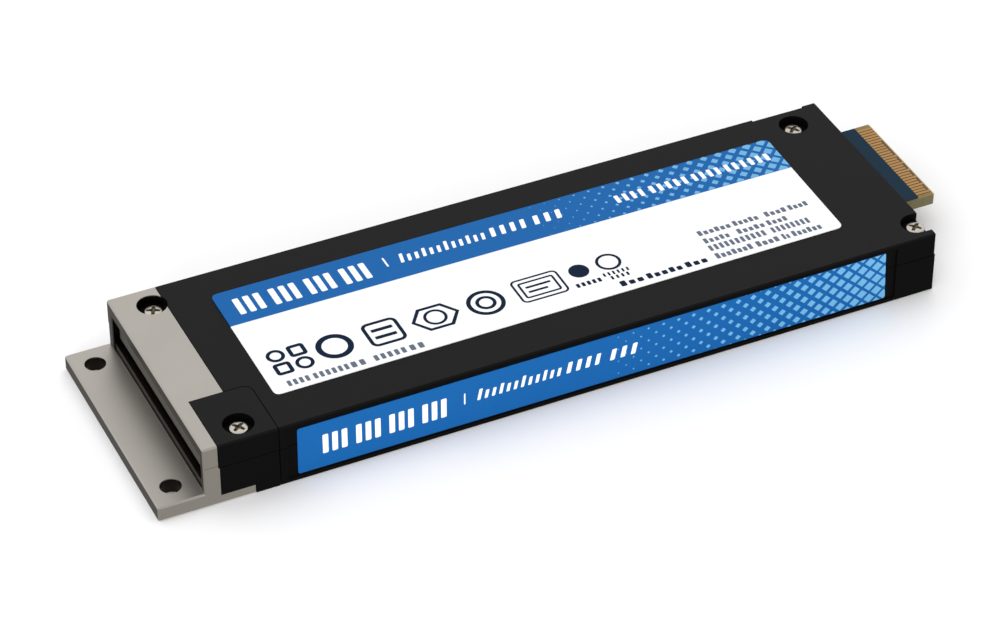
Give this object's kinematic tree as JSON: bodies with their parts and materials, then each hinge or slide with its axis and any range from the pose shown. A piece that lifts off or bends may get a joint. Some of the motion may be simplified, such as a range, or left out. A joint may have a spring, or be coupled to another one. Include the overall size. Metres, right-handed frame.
{
  "type": "ruler ssd module",
  "caption": "Ruler-shaped solid state drive: slim black metal case with a labelled top, a flanged end bracket for a latch, and a card edge connector at the far end.",
  "frame": {"origin": "centre of the underside of the whole part, flange and card edge included", "axes": "+X from the bracket's flange to the card edge, +Z out of the labelled top, +Y away from the labelled side"},
  "size_m": [0.1188, 0.0338, 0.0095],
  "materials": {
    "satin_bracket": "satin",
    "black_case": "fine matt black",
    "bare_laminate": "glass fibre laminate",
    "solder_mask": "blue solder mask",
    "gold_plating": "gold plating",
    "tantalum_case": "moulded",
    "ferrite": "pressed ferrite",
    "chip_black": "moulded epoxy",
    "pad_grey": "soft thermal pad",
    "nickel_screw": "nickel plated",
    "white_label": "printed film",
    "blue_label": "printed film"
  },
  "bodies": {
    "root": {"end_bracket": "satin_bracket", "top_cover": "black_case", "bottom_case": "black_case", "corner_cap": "black_case", "corner_base": "black_case", "circuit_board": "bare_laminate", "solder_mask_upper": "solder_mask", "solder_mask_lower": "solder_mask", "contact_fingers_upper": "gold_plating", "contact_fingers_lower": "gold_plating", "holdup_capacitor_1": "tantalum_case", "holdup_capacitor_2": "tantalum_case", "holdup_capacitor_3": "tantalum_case", "holdup_capacitor_4": "tantalum_case", "holdup_capacitor_5": "tantalum_case", "holdup_capacitor_6": "tantalum_case", "inductor_1": "ferrite", "inductor_2": "ferrite", "power_chip": "chip_black", "controller_chip": "chip_black", "memory_chip_1": "chip_black", "memory_chip_2": "chip_black", "controller_pad": "pad_grey", "flash_upper_1": "chip_black", "flash_upper_2": "chip_black", "flash_upper_3": "chip_black", "flash_upper_4": "chip_black", "flash_lower_1": "chip_black", "flash_lower_2": "chip_black", "flash_lower_3": "chip_black", "flash_lower_4": "chip_black", "flash_pad_upper": "pad_grey", "flash_pad_lower": "pad_grey", "bracket_screw": "nickel_screw", "block_screw": "nickel_screw", "far_end_screw": "nickel_screw", "near_end_screw": "nickel_screw", "top_label": "white_label", "top_label_band": "blue_label", "side_label": "blue_label"}
  },
  "joints": []
}
